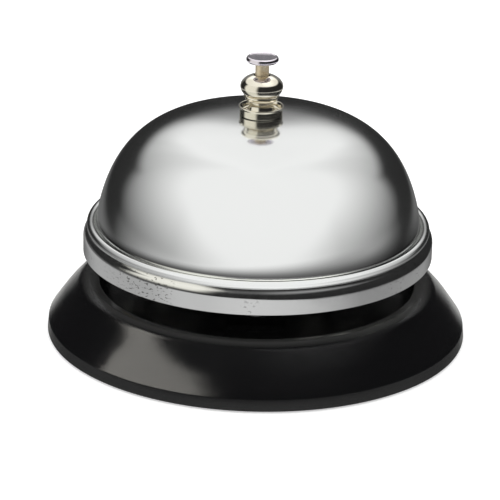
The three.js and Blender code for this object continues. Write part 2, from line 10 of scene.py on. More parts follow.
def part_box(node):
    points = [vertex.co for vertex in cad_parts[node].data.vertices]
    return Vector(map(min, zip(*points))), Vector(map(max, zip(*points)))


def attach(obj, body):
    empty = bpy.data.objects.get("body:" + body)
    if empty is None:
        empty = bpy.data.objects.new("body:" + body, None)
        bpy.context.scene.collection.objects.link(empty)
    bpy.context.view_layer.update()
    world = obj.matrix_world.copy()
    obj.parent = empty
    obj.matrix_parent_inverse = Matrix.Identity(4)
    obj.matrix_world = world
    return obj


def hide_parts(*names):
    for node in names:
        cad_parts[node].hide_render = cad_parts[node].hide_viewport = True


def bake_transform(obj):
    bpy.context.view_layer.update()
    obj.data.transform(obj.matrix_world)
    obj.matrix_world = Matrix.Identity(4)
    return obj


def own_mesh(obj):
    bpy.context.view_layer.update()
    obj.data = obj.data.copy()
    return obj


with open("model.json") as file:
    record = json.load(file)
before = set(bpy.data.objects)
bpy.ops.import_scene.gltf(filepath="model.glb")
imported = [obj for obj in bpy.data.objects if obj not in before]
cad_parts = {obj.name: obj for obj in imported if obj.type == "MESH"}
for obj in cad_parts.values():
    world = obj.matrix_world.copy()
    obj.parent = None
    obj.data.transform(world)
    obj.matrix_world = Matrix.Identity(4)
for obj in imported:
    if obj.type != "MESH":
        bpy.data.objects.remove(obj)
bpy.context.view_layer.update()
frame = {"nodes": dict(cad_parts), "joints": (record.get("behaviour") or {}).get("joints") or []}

MM = 0.001

# Round pieces: how many facets go round them, and how finely their curves are divided.
SHELL_FACETS = 240
TURNED_FACETS = 120
SMALL_FACETS = 72
WIRE_SIDES = 12
ARC_STEP_DEGREES = 9

# Points nearer to the Z axis than this lie on it, in millimetres.
ON_AXIS = 1e-6

# ---- Sizes from the frame -----------------------------------------------------------------------


def box_mm(node):
    """The lowest and highest corners of a CAD node, in millimetres."""
    low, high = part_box(node)
    return low / MM, high / MM


PAN_LOW, PAN_HIGH = box_mm("base_pan")
DOME_LOW, DOME_HIGH = box_mm("bell_dome")
COLLAR_LOW, COLLAR_HIGH = box_mm("bell_collar")
KNOB_LOW, KNOB_HIGH = box_mm("finial_knob")
ROD_LOW, ROD_HIGH = box_mm("plunger_rod")
BUTTON_LOW, BUTTON_HIGH = box_mm("plunger_button")
SPRING_LOW, SPRING_HIGH = box_mm("return_spring")

STRIKER_JOINT = next(j for j in frame["joints"] if j["name"] == "striker_swing")
PIVOT = Vector(STRIKER_JOINT["pos_m"]) / MM
HAMMER = sum(box_mm("hammer_head"), Vector()) / 2

# ---- Profiles -----------------------------------------------------------------------------------


def arc(radius, height, size, start, end, height_size=None):
    """Points on an arc in the radius-height plane, angles in degrees from the outward direction."""
    count = max(2, math.ceil(abs(end - start) / ARC_STEP_DEGREES))
    tall = size if height_size is None else height_size
    angles = [math.radians(start + (end - start) * i / count) for i in range(count + 1)]
    return [(radius + size * math.cos(a), height + tall * math.sin(a)) for a in angles]


def rounded(points, closed=True):
    """A profile with rounded corners, from points (radius, height) or (radius, height, fillet)."""
    made = []
    count = len(points)
    for i, point in enumerate(points):
        here = Vector(point[:2])
        fillet = point[2] if len(point) > 2 else 0
        if fillet == 0 or (not closed and i in (0, count - 1)):
            made.append(tuple(here))
            continue
        before = Vector(points[i - 1][:2]) - here
        after = Vector(points[(i + 1) % count][:2]) - here
        turn = before.angle(after)
        reach = min(fillet / math.tan(turn / 2), before.length * 0.49, after.length * 0.49)
        radius = reach * math.tan(turn / 2)
        middle = (before.normalized() + after.normalized()).normalized()
        centre = here + middle * (radius / math.sin(turn / 2))
        first = here + before.normalized() * reach - centre
        last = here + after.normalized() * reach - centre
        sweep = first.angle_signed(last)
        steps = max(2, math.ceil(math.degrees(abs(sweep)) / ARC_STEP_DEGREES))
        for k in range(steps + 1):
            angle = -sweep * k / steps
            cos, sin = math.cos(angle), math.sin(angle)
            spoke = Vector((first.x * cos - first.y * sin, first.x * sin + first.y * cos))
            made.append(tuple(centre + spoke))
    return made


# ---- Mesh pieces --------------------------------------------------------------------------------


def placed(name, data):
    """A new object in the scene, with this mesh or camera."""
    thing = bpy.data.objects.new(name, data)
    bpy.context.scene.collection.objects.link(thing)
    return thing


def piece_from(name, vertices, faces, sharp_degrees=40):
    """A smooth-shaded mesh object from points in millimetres."""
    mesh = bpy.data.meshes.new(name)
    mesh.from_pydata([Vector(v) * MM for v in vertices], [], faces)
    mesh.validate()
    mesh.shade_smooth()
    mesh.set_sharp_from_angle(angle=math.radians(sharp_degrees))
    return placed(name, mesh)


def turned(name, profile, facets=TURNED_FACETS, sharp_degrees=40):
    """A profile of (radius, height), up its outside and down its inside, turned about Z."""
    vertices, rings = [], []
    for radius, height in profile:
        if radius < ON_AXIS:
            rings.append([len(vertices)] * facets)
            vertices.append((0, 0, height))
            continue
        rings.append(list(range(len(vertices), len(vertices) + facets)))
        for i in range(facets):
            angle = 2 * math.pi * i / facets
            vertices.append((radius * math.cos(angle), radius * math.sin(angle), height))
    faces = []
    pairs = list(zip(rings, rings[1:] + rings[:1]))
    if profile[0][0] < ON_AXIS and profile[-1][0] < ON_AXIS:
        pairs = pairs[:-1]
    for lower, upper in pairs:
        for i in range(facets):
            k = (i + 1) % facets
            corners = [lower[i], lower[k], upper[k], upper[i]]
            corners = [c for n, c in enumerate(corners) if c != corners[n - 1]]
            if len(corners) > 2:
                faces.append(corners)
    return piece_from(name, vertices, faces, sharp_degrees)


def swept(name, path, radius):
    """A round wire along a list of points, with slightly rounded ends."""
    sides = WIRE_SIDES
    tip, tip_share = radius * 0.4, 0.55
    points = [Vector(p) for p in path]
    tangents = []
    for i in range(len(points)):
        ahead = points[min(i + 1, len(points) - 1)] - points[max(i - 1, 0)]
        tangents.append(ahead.normalized())
    normal = tangents[0].orthogonal().normalized()
    stations = [(points[0] - tangents[0] * tip, 0, tip_share)]
    stations += [(p, i, 1) for i, p in enumerate(points)]
    stations.append((points[-1] + tangents[-1] * tip, len(points) - 1, tip_share))
    vertices, faces = [], []
    for place, index, share in stations:
        tangent = tangents[index]
        normal = (normal - tangent * normal.dot(tangent)).normalized()
        side = tangent.cross(normal)
        for k in range(sides):
            angle = 2 * math.pi * k / sides
            spoke = normal * math.cos(angle) + side * math.sin(angle)
            vertices.append(place + spoke * (radius * share))
    for i in range(len(stations) - 1):
        for k in range(sides):
            n = (k + 1) % sides
            row, above = i * sides, (i + 1) * sides
            faces.append([row + k, row + n, above + n, above + k])
    faces.append(list(reversed(range(sides))))
    faces.append([(len(stations) - 1) * sides + k for k in range(sides)])
    return piece_from(name, vertices, faces)


def coated(piece, material):
    """Gives a piece one material."""
    piece.data.materials.clear()
    piece.data.materials.append(material)
    return piece


def dressed(piece, material, body, slot, *nodes):
    """Gives a piece its material and body, and hides the CAD nodes that it stands for. The slot is
    not used.
    """
    coated(piece, material)
    if body is not None:
        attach(piece, body)
    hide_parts(*nodes)
    return piece


# ---- Materials ----------------------------------------------------------------------------------
#
# Texture scales are per metre, and bump distances are in metres.


class Graph:
    """Short ways to build a node tree."""

    def __init__(self, tree):
        self.tree = tree

    def put(self, socket, value):
        if isinstance(value, bpy.types.NodeSocket):
            self.tree.links.new(value, socket)
        else:
            socket.default_value = value

    def add(self, kind, **inputs):
        node = self.tree.nodes.new(kind)
        for name, value in inputs.items():
            self.put(node.inputs[name.replace("_", " ")], value)
        return node

    def math(self, operation, a, b):
        node = self.tree.nodes.new("ShaderNodeMath")
        node.operation = operation
        self.put(node.inputs[0], a)
        self.put(node.inputs[1], b)
        return node.outputs[0]

    def ranged(self, value, low, high, to_low=0.0, to_high=1.0, smooth=False):
        node = self.add("ShaderNodeMapRange", Value=value)
        node.interpolation_type = "SMOOTHSTEP" if smooth else "LINEAR"
        ends = (("From Min", low), ("From Max", high), ("To Min", to_low), ("To Max", to_high))
        for name, end in ends:
            self.put(node.inputs[name], end)
        return node.outputs["Result"]

    def blended(self, factor, first, second):
        """Two colours mixed. The node's colour sockets share their names with others."""
        node = self.tree.nodes.new("ShaderNodeMix")
        node.data_type = "RGBA"
        first_colour, second_colour, mixed = node.inputs[6], node.inputs[7], node.outputs[2]
        self.put(node.inputs["Factor"], factor)
        self.put(first_colour, first)
        self.put(second_colour, second)
        return mixed

    def curve(self, value, *stops):
        """A number looked up between (place, height) stops."""
        node = self.add("ShaderNodeValToRGB", Fac=value)
        elements = node.color_ramp.elements
        while len(elements) < len(stops):
            elements.new(0.5)
        for element, (place, height) in zip(elements, stops):
            element.position = place
            element.color = (height, height, height, 1)
        return node.outputs["Color"]


class Look(Graph):
    """A material under construction: its node tree and its Principled shader."""

    def __init__(self, name):
        self.material = bpy.data.materials.new(name)
        self.material.use_nodes = True
        super().__init__(self.material.node_tree)
        self.shader = self.tree.nodes["Principled BSDF"]
        self.place = self.add("ShaderNodeTexCoord").outputs["Object"]

    def set(self, **inputs):
        for name, value in inputs.items():
            self.put(self.shader.inputs[name.replace("_", " ")], value)

    def noise(self, scale, detail, stretch=(1, 1, 1)):
        mapping = self.add("ShaderNodeMapping", Vector=self.place, Scale=stretch)
        place = mapping.outputs["Vector"]
        node = self.add("ShaderNodeTexNoise", Vector=place, Scale=scale, Detail=detail)
        return node.outputs["Fac"]

    def near(self, point, inner, outer):
        """1 within a distance of a point of the piece, falling to 0."""
        node = self.add("ShaderNodeVectorMath", Vector=self.place)
        node.operation = "DISTANCE"
        node.inputs[1].default_value = point
        return self.ranged(node.outputs["Value"], outer, inner, 0, 1, smooth=True)

    def along(self, axis):
        """How far along X, Y or Z a point of the piece lies."""
        return self.add("ShaderNodeSeparateXYZ", Vector=self.place).outputs[axis]

    def rings(self, scale, distortion):
        """Fine turning lines round Z."""
        node = self.add("ShaderNodeTexWave", Vector=self.place, Scale=scale, Distortion=distortion)
        node.wave_type = "BANDS"
        node.bands_direction = "Z"
        return node.outputs["Fac"]

    def bump(self, value, distance, strength):
        node = self.add("ShaderNodeBump", Height=value, Strength=strength, Distance=distance)
        self.set(Normal=node.outputs["Normal"])


def bell_chrome():
    """Polished dome: slightly soft reflections, faint drawing lines and painted shade above the
    bead.
    """
    look = Look("bell_chrome")
    clouds = look.noise(55, 4)
    unshaded = look.blended(clouds, (0.85, 0.862, 0.852, 1), (0.87, 0.88, 0.87, 1))
    # Painted shade: a dark band above the bead that fades out upwards. Its upper end climbs from
    # the left to the right.
    left, right = -10 * MM, 33 * MM
    left_end, right_end = 25.6 * MM, 29.5 * MM
    foot, blur = 23.8 * MM, 0.1 * MM
    end = look.ranged(look.along("X"), left, right, left_end, right_end)
    foot_shade = look.ranged(look.along("Z"), end, foot, 0, 1, smooth=True)
    foot_shade = look.math("MULTIPLY", foot_shade, look.ranged(look.along("Z"), foot - blur, foot + blur))
    # The painted shade darkens the chrome's base colour towards dark grey.
    look.set(
        Metallic=1.0,
        Base_Color=look.blended(foot_shade, unshaded, (0.1, 0.1, 0.1, 1)),
        Roughness=look.ranged(clouds, 0.3, 0.7, 0.12, 0.17),
    )
    lines = look.math("ADD", look.rings(900, 2), look.noise(160, 3))
    look.bump(lines, 0.000002, 0.35)
    return look.material


def rim_chrome():
    """The rim's burnished band, with small pits in patches."""
    look = Look("rim_chrome")
    fine = look.noise(900, 2)
    patches = look.ranged(look.noise(60, 2), 0.56, 0.62, 0, 0.5)
    worst = look.near(Vector((-21.5, -28.0, 19.5)) * MM, 4.5 * MM, 7.5 * MM)
    patches = look.math("MAXIMUM", patches, worst)
    pits = look.math("MULTIPLY", look.ranged(look.noise(1300, 2, (1, 1, 2)), 0.6, 0.66), patches)
    look.set(
        Metallic=1.0,
        Base_Color=look.blended(pits, (0.86, 0.865, 0.86, 1), (0.3, 0.3, 0.29, 1)),
        Roughness=look.ranged(fine, 0.3, 0.7, 0.1, 0.16),
    )
    look.bump(fine, 0.000003, 0.4)
    return look.material


def nickel():
    """Warm polished nickel, with a trace of tarnish in its clouds."""
    look = Look("nickel")
    clouds = look.noise(420, 4)
    look.set(
        Metallic=1.0,
        Base_Color=look.blended(clouds, (0.78, 0.74, 0.64, 1), (0.86, 0.83, 0.76, 1)),
        Roughness=look.ranged(clouds, 0.3, 0.7, 0.06, 0.12),
    )
    look.bump(look.rings(2500, 1), 0.000002, 0.4)
    return look.material


def button_nickel():
    """The button's nickel, a little bluer, with fine scratches on its dish."""
    look = Look("button_nickel")
    scratches = look.noise(1400, 5, (1, 0.25, 1))
    look.set(
        Metallic=1.0,
        Base_Color=look.blended(scratches, (0.7, 0.66, 0.76, 1), (0.82, 0.78, 0.86, 1)),
        Roughness=look.ranged(scratches, 0.3, 0.7, 0.07, 0.16),
    )
    look.bump(scratches, 0.00001, 0.5)
    return look.material


def worn_brass(name, light, dark, metallic=1.0):
    """Turned brass, thinly plated, worn warmer in patches."""
    look = Look(name)
    wear = look.noise(700, 5)
    look.set(
        Metallic=metallic,
        Base_Color=look.blended(look.ranged(wear, 0.35, 0.65, 0, 1), dark, light),
        Roughness=look.ranged(wear, 0.3, 0.7, 0.26, 0.4),
    )
    look.bump(look.math("ADD", look.rings(3000, 1), wear), 0.000012, 0.5)
    return look.material


def black_lacquer():
    """Gloss black stoving lacquer with a slight orange peel, dust specks, and a painted highlight
    along the crest.
    """
    look = Look("black_lacquer")
    peel = look.noise(240, 3)
    specks = look.ranged(look.noise(2600, 1), 0.76, 0.82, 0, 1)
    # Dust specks lie at random. Over the crest's top 0.8 mm the base colour lightens: a painted
    # highlight.
    top, sheen_depth = PAN_HIGH.z, 0.8
    crest_sheen = look.ranged(look.along("Z"), (top - sheen_depth) * MM, top * MM, 0, 1, smooth=True)
    dust_and_sheen = look.math("MAXIMUM", look.math("MULTIPLY", specks, 0.3), crest_sheen)
    look.set(
        Base_Color=look.blended(dust_and_sheen, (0.004, 0.004, 0.0045, 1), (0.05, 0.05, 0.049, 1)),
        Roughness=look.ranged(look.noise(70, 4), 0.3, 0.7, 0.11, 0.19),
    )
    look.bump(peel, 0.00002, 0.35)
    return look.material


def foot_rubber():
    """Matt rubber with a fine grain."""
    look = Look("foot_rubber")
    grain = look.noise(1800, 4)
    look.set(
        Base_Color=look.blended(grain, (0.012, 0.012, 0.012, 1), (0.03, 0.03, 0.029, 1)),
        Roughness=look.ranged(grain, 0.3, 0.7, 0.7, 0.92),
    )
    look.bump(grain, 0.00006, 0.7)
    return look.material


def plain_metal(name, light, dark, smoothest, roughest, scale=260, lines=0):
    """Satin metal with clouds in its colour and gloss, and turning lines if lines is set."""
    look = Look(name)
    clouds = look.noise(scale, 5)
    look.set(
        Metallic=1.0,
        Base_Color=look.blended(clouds, dark, light),
        Roughness=look.ranged(clouds, 0.3, 0.7, smoothest, roughest),
    )
    relief = look.math("ADD", look.rings(lines, 1), clouds) if lines else clouds
    look.bump(relief, 0.00001, 0.5)
    return look.material


CHROME = bell_chrome()
RIM_CHROME = rim_chrome()
NICKEL = nickel()
BUTTON = button_nickel()
STEM = worn_brass("stem_brass", (0.7, 0.62, 0.47, 1), (0.55, 0.44, 0.28, 1), 0.6)
BRASS = worn_brass("brass_turned", (0.78, 0.64, 0.38, 1), (0.6, 0.45, 0.22, 1))
LACQUER = black_lacquer()
RUBBER = foot_rubber()
ZINC = plain_metal("zinc_plate", (0.7, 0.72, 0.75, 1), (0.52, 0.54, 0.58, 1), 0.3, 0.5)
STEEL = plain_metal(
    "steel_turned", (0.66, 0.66, 0.67, 1), (0.5, 0.5, 0.51, 1), 0.2, 0.36, lines=2200
)
SPRING = plain_metal("spring_steel", (0.42, 0.42, 0.44, 1), (0.28, 0.28, 0.3, 1), 0.22, 0.4, 900)

# ---- Base ---------------------------------------------------------------------------------------

SHEET = 0.8
WELL_RADIUS = 31.7
WELL_FLOOR = 7.0


def base_pan():
    """Pressed base: upright lip, flared skirt, rounded crest, recessed well, hollow underneath."""
    edge, bottom, top = PAN_HIGH.x, PAN_LOW.z, PAN_HIGH.z
    skirt = edge - 0.3
    # From the lip up the skirt, over the crest, and down the well's wall to its floor.
    outside = [
        (edge - SHEET, bottom, 0.1),
        (edge - 0.05, bottom, 0.3),
        (skirt + 0.02, bottom + 2.5, 0.35),
        (skirt - 0.95, bottom + 3.9, 2),
        (skirt - 3.4, bottom + 7.4, 26),
        (skirt - 6.2, top - 0.75, 3.2),
        (skirt - 8.2, top, 2.2),
        (WELL_RADIUS + 0.35, top - 0.1, 0.7),
        (WELL_RADIUS - 0.75, WELL_FLOOR + 1.1, 0.6),
        (WELL_RADIUS - 2, WELL_FLOOR, 1.4),
        (9, WELL_FLOOR),
        (0, WELL_FLOOR),
    ]
    # The same way back, one sheet's thickness lower.
    inside = [
        (0, WELL_FLOOR - SHEET),
        (WELL_RADIUS - 1.7, WELL_FLOOR - SHEET, 1.6),
        (WELL_RADIUS + 0.1, WELL_FLOOR + 0.8, 0.6),
        (WELL_RADIUS + 1.0, top - SHEET - 0.15, 0.6),
        (skirt - 8.3, top - SHEET, 1.4),
        (skirt - 6.8, top - SHEET - 0.7, 1.6),
        (skirt - 5.0, bottom + 7.55, 12),
        (skirt - 2.0, bottom + 3.65, 1.7),
        (skirt - SHEET, bottom + 2.2, 0.3),
    ]
    pan = turned("base_shell", rounded(inside + outside), SHELL_FACETS)
    return dressed(pan, LACQUER, "root", "black_lacquer", "base_pan")


def foot_ring():
    """Moulded ring with rounded edges and three shallow grooves in the face it stands on."""
    low, high = box_mm("foot_ring")
    width = 3.2
    outer, inner = high.x, high.x - width
    groove, depth = 0.28, 0.25
    groove_shares = 0.27, 0.5, 0.73
    profile = [(inner, low.z, 0.35)]
    for share in groove_shares:
        middle = inner + width * share
        profile += [
            (middle - groove, low.z, 0.08),
            (middle - groove * 0.5, low.z + depth, 0.08),
            (middle + groove * 0.5, low.z + depth, 0.08),
            (middle + groove, low.z, 0.08),
        ]
    profile += [(outer, low.z, 0.35), (outer, high.z, 0.3), (inner, high.z, 0.3)]
    ring = turned("foot", rounded(profile), SHELL_FACETS)
    return dressed(ring, RUBBER, "root", "foot_rubber", "foot_ring")


# ---- Dome ---------------------------------------------------------------------------------------

# The dome is a superellipse about the waist's height. A higher power squares its shoulders.
DOME_WALL = 1.2
DOME_RADIUS = 33.69
DOME_WAIST = 2.77
DOME_POWER = 3.277
DOME_HOLE = 2.7

# The heights where the outer and the inner curve start, and the steps along each.
OUTER_FOOT, OUTER_STEPS = 23.1, 110
INNER_FOOT, INNER_STEPS = 24.6, 60

# The bead's middle, its own radius, and the angles between which it shows.
BEAD_RADIUS = 33.66
BEAD_HEIGHT = 22.82
BEAD_SIZE = 0.9
BEAD_SWEEP = -42, 160

# The rim's rounded shoulder: its middle, its own radius, and its angles.
SHOULDER_HEIGHT = 20.35
SHOULDER_SIZE = 1.9
SHOULDER_SWEEP = 0, 54

SEAM_RADIUS = 32.9
SHARP_DEGREES = 35


def dome_curve(offset, lowest, count):
    """The dome's superellipse, offset inwards, from a height up to the crown's hole."""
    reach = DOME_RADIUS - offset
    rise = DOME_HIGH.z - DOME_WAIST - offset
    start = math.asin(((lowest - DOME_WAIST) / rise) ** (DOME_POWER / 2))
    end = math.acos((DOME_HOLE / reach) ** (DOME_POWER / 2))
    points = []
    for i in range(count + 1):
        angle = start + (end - start) * i / count
        radius = reach * math.cos(angle) ** (2 / DOME_POWER)
        points.append((radius, DOME_WAIST + rise * math.sin(angle) ** (2 / DOME_POWER)))
    return points


def bell_dome():
    """Spun bell in two pieces that share a hidden seam: the dome with its bead, and the rim."""
    bead = arc(BEAD_RADIUS, BEAD_HEIGHT, BEAD_SIZE, *BEAD_SWEEP)
    outer = dome_curve(0, OUTER_FOOT, OUTER_STEPS)
    inner = dome_curve(DOME_WALL, INNER_FOOT, INNER_STEPS)
    seam = (SEAM_RADIUS, bead[0][1])
    inside = rounded([inner[0], (31.55, 23.6, 0.5), (32.2, 22.5, 0.5), seam], closed=False)
    dome = turned("dome", bead + outer + inner[:0:-1] + inside, SHELL_FACETS, SHARP_DEGREES)
    dressed(dome, CHROME, "root", "bell_chrome", "bell_dome")
    rim, bottom = DOME_HIGH.x, DOME_LOW.z
    wall = rim - DOME_WALL
    band = [seam, (wall, 20.9, 0.5), (wall, bottom, 0.2), (rim, bottom, 0.25), (rim, 20)]
    shoulder = arc(rim - SHOULDER_SIZE, SHOULDER_HEIGHT, SHOULDER_SIZE, *SHOULDER_SWEEP)
    profile = rounded(band, closed=False) + shoulder + [bead[0]]
    rim_band = turned("dome_rim", profile, SHELL_FACETS, SHARP_DEGREES)
    dressed(rim_band, RIM_CHROME, "root", "bell_chrome", "bell_dome")
    return dome, rim_band


# ---- Crown --------------------------------------------------------------------------------------


def bell_collar():
    """Thin cup with a rolled lip, its floor clamped on the crown."""
    lip = COLLAR_HIGH.x
    wall = lip - 0.18
    inner = wall - 0.35
    bottom, top = COLLAR_LOW.z, COLLAR_HIGH.z
    profile = rounded(
        [
            (DOME_HOLE, bottom, 0.1),
            (wall, bottom, 0.12),
            (wall, top - 0.5, 0.2),
            (lip, top - 0.2, 0.12),
            (lip, top, 0.1),
            (lip - 0.28, top, 0.1),
            (inner, top - 0.5, 0.15),
            (inner, bottom + 0.7, 0.3),
            (DOME_HOLE, bottom + 0.6, 0.1),
        ]
    )
    collar = turned("collar", profile)
    return dressed(collar, NICKEL, "root", "nickel", "bell_collar")


def finial_knob():
    """Ball knob over a bead and a waisted neck, bored through, with a threaded shank."""
    seat = COLLAR_LOW.z + 0.7
    ball_radius = KNOB_HIGH.x
    ball_centre = 52.0
    ball_half = 2.5
    flange, neck, bead = 3.25, 2.36, 3.6
    bead_foot = 49.2
    bore = 1.62
    shank, root_radius, pitch = 2.3, 2.02, 0.5
    thread = []
    height = KNOB_LOW.z + 0.35
    while height < seat - 1.3:
        thread += [(root_radius, height), (shank, height + pitch * 0.5)]
        height += pitch
        thread.append((root_radius, height))
    thread = [p for i, p in enumerate(thread) if i == 0 or p != thread[i - 1]]
    body = rounded(
        [
            (shank, seat - 0.6, 0.1),
            (shank, seat, 0.05),
            (flange, seat, 0.1),
            (flange, seat + 0.22, 0.1),
            (flange - 0.5, seat + 0.42, 0.15),
            (neck, seat + 1.15, 1.2),
            (neck, bead_foot, 0.3),
            (bead - 0.55, bead_foot + 0.08, 0.2),
            (bead, bead_foot + 0.75, 0.2),
            (bead - 0.05, bead_foot + 0.95, 0.12),
        ],
        closed=False,
    )
    ball = arc(0, ball_centre, ball_radius, -38, 0, ball_half + 0.4)[:-1]
    ball += arc(0, ball_centre, ball_radius, 0, 66, ball_half)
    mouth = rounded(
        [
            ball[-1],
            (bore, ball_centre + ball_half - 0.22, 0.08),
            (bore, KNOB_LOW.z, 0.1),
            (root_radius, KNOB_LOW.z),
        ],
        closed=False,
    )
    knob = turned("ball_knob", thread + body + ball + mouth[1:], TURNED_FACETS, 50)
    return dressed(knob, NICKEL, "root", "nickel", "finial_knob")


# ---- Button -------------------------------------------------------------------------------------


def plunger_rod():
    """Turned rod with a chamfered tip and a shallow groove under the stop collar."""
    radius = ROD_HIGH.x
    groove = radius - 0.12
    stop_low, _ = box_mm("stop_collar")
    profile = rounded(
        [
            (0, ROD_LOW.z),
            (radius * 0.62, ROD_LOW.z, 0.15),
            (radius, ROD_LOW.z + 0.5, 0.2),
            (radius, stop_low.z - 0.25, 0.05),
            (groove, stop_low.z - 0.15, 0.05),
            (groove, stop_low.z - 0.02, 0.05),
            (radius, stop_low.z + 0.05, 0.05),
            (radius, ROD_HIGH.z - 0.3),
            (radius, ROD_HIGH.z),
            (0, ROD_HIGH.z),
        ],
        closed=False,
    )
    rod = turned("button_rod", profile, SMALL_FACETS)
    return dressed(rod, STEM, "plunger", "brass_turned", "plunger_rod")


def plunger_button():
    """Dished button head with a thick rolled rim that hangs below its underside."""
    radius = BUTTON_HIGH.x
    hang, top = BUTTON_LOW.z, BUTTON_HIGH.z
    bottom, dish = hang + 0.35, top - 0.17
    roll = 0.45
    profile = rounded(
        [
            (0, bottom),
            (1.75, bottom, 0.1),
            (radius - 0.8, bottom + 0.12, 0.2),
            (radius - 0.6, hang, 0.2),
            *arc(radius - roll, (hang + top) / 2, roll, -72, 80, (top - hang) / 2),
            (radius - 0.5, top - 0.03, 0.1),
            (radius - 0.62, top - 0.12, 0.1),
            (1.2, dish, 2),
            (0, dish),
        ],
        closed=False,
    )
    button = turned("button", profile, SMALL_FACETS)
    return dressed(button, BUTTON, "plunger", "nickel", "plunger_button")


# ---- Springs ------------------------------------------------------------------------------------

STEPS_PER_TURN = 36


def return_spring():
    """Compression spring inside the post, with closed end turns."""
    wire, turns = 0.22, 6.5
    radius = SPRING_HIGH.x - wire
    low, high = SPRING_LOW.z + wire, SPRING_HIGH.z - wire
    # The closed turns take this share of the wire at each end, and climb this share of the height.
    closed, creep = 0.1, 0.12
    easing = 0.35
    count = int(turns * STEPS_PER_TURN)
    path = []
    for i in range(count + 1):
        share = i / count
        opened = min(1, max(0, (share - closed) / (1 - 2 * closed)))
        eased = 0.5 - 0.5 * math.cos(math.pi * opened)
        lift = creep * share + (1 - creep) * (easing * eased + (1 - easing) * opened)
        angle = 2 * math.pi * turns * share
        height = low + (high - low) * lift
        path.append((radius * math.cos(angle), radius * math.sin(angle), height))
    spring = swept("coil_spring", path, wire)
    dressed(spring, SPRING, "root", "spring_steel", "return_spring")
    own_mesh(spring)
    return spring


def striker_spring():
    """Torsion spring round the pin. One leg turns with the lever, the other stays still."""
    radius, wire, turns = 2.05, 0.3, 4
    leg, leg_steps = 6.5, 6
    # Along the pin, the coil runs between these distances from the lever's middle.
    near, far = 1.3, 6.2
    arm = (HAMMER - PIVOT).normalized()
    across = Vector((arm.z, 0, -arm.x))
    axis = Vector((0, 1, 0))
    steps = turns * STEPS_PER_TURN
    coil = []
    for i in range(steps + 1):
        angle = 2 * math.pi * turns * i / steps
        spoke = across * math.cos(angle) - arm * math.sin(angle)
        coil.append(PIVOT + spoke * radius + axis * (near + (far - near) * i / steps))
    leg_places = [leg * k / leg_steps for k in range(1, leg_steps + 1)]
    on_lever = [coil[0] + arm * place for place in reversed(leg_places)]
    on_bracket = [coil[-1] - arm * place for place in leg_places]
    spring = swept("torsion_spring", on_lever + coil + on_bracket, wire)
    dressed(spring, SPRING, None, "spring_steel", "striker_spring")
    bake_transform(spring)
    return spring


# ---- Hidden mechanism: CAD nodes that keep their shape -----------------------------------------


def dress_node(node, material, bevel):
    """A CAD node that stays gets small rounded edges and its own material."""
    piece = coated(frame["nodes"][node], material)
    if bevel:
        edge = piece.modifiers.new("edges", "BEVEL")
        edge.width = bevel * MM
        edge.segments = 2
        edge.limit_method = "ANGLE"
        edge.angle_limit = math.radians(50)
        edge.harden_normals = False
    return piece


def mechanism():
    """The pieces under the dome. Each row is a node, its material and its bevel."""
    rows = (
        ("mechanism_frame", LACQUER, 0.12),
        ("frame_rivet_front", STEEL, 0),
        ("frame_rivet_back", STEEL, 0),
        ("center_post", STEEL, 0),
        ("post_lock_washer", SPRING, 0.05),
        ("post_nut", ZINC, 0.15),
        ("bell_seat_washer", STEEL, 0.05),
        ("pivot_pin", STEEL, 0),
        ("pivot_spacer", BRASS, 0.05),
        ("pivot_clip", SPRING, 0.05),
        ("stop_collar", STEEL, 0.05),
        ("striker_lever", ZINC, 0.15),
        ("hammer_head", STEEL, 0),
        ("hammer_rivet", BRASS, 0),
    )
    return [dress_node(*row) for row in rows]


# ---- Stage --------------------------------------------------------------------------------------

# The camera's place and aim in millimetres and degrees, then small turns that frame the bell.
CAMERA_DISTANCE = 571.0
CAMERA_ELEVATION = 20.1
CAMERA_HEIGHT_AIM = 28.0
CAMERA_DOWN = 1.025
CAMERA_PAN = 0.152
CAMERA_ROLL = 1.5

# The lens and the sensor's width in millimetres, and the range that the camera sees in metres.
CAMERA_LENS = 204.3
CAMERA_SENSOR = 36
CAMERA_NEAR, CAMERA_FAR = 0.05, 50

FLOOR_HALF = 4
FLOOR_GLOW = 0.45

# Colours of the light.
PURE = (1, 1, 1, 1)
WHITE = (0.97, 0.97, 0.95, 1)
CREAM = (0.88, 0.865, 0.79, 1)
OVERHEAD = (0.94, 0.93, 0.87, 1)
KEY_TINT = (1.0, 0.97, 0.9, 1)

# The glowing shells' radii, in metres: the first one's, and the gap to each next one.
SHELL_RADIUS = 3.0
SHELL_GAP = 0.1


def camera():
    """A long lens in front of the bell, looking down on it and rolled a little."""
    elevation = math.radians(CAMERA_ELEVATION)
    aim = Vector((0, 0, CAMERA_HEIGHT_AIM))
    back = Vector((0, -math.cos(elevation), math.sin(elevation)))
    data = bpy.data.cameras.new("camera")
    data.lens = CAMERA_LENS
    data.sensor_width = CAMERA_SENSOR
    data.clip_start, data.clip_end = CAMERA_NEAR, CAMERA_FAR
    eye = placed("camera", data)
    place = Matrix.Translation((aim + back * CAMERA_DISTANCE) * MM)
    look = (-back).to_track_quat("-Z", "Y").to_matrix().to_4x4()
    tilt = Matrix.Rotation(math.radians(-CAMERA_DOWN), 4, "X")
    pan = Matrix.Rotation(math.radians(CAMERA_PAN), 4, "Y")
    roll = Matrix.Rotation(math.radians(CAMERA_ROLL), 4, "Z")
    eye.matrix_world = place @ look @ pan @ tilt @ roll
    bpy.context.scene.camera = eye


def floor():
    """A wide pale floor. Mirrored rays miss it, and see its light on the glowing shells."""
    half = FLOOR_HALF
    corners = [(-half, -half, 0), (half, -half, 0), (half, half, 0), (-half, half, 0)]
    mesh = bpy.data.meshes.new("floor")
    mesh.from_pydata(corners, [], [(0, 1, 2, 3)])
    plane = placed("floor", mesh)
    paper = Look("floor_paper")
    paper.set(
        Base_Color=paper.blended(paper.noise(3, 2), (0.93, 0.93, 0.93, 1), (0.95, 0.95, 0.95, 1)),
        Roughness=0.9,
        Emission_Color=PURE,
        Emission_Strength=FLOOR_GLOW,
    )
    mesh.materials.append(paper.material)
    plane.visible_glossy = False


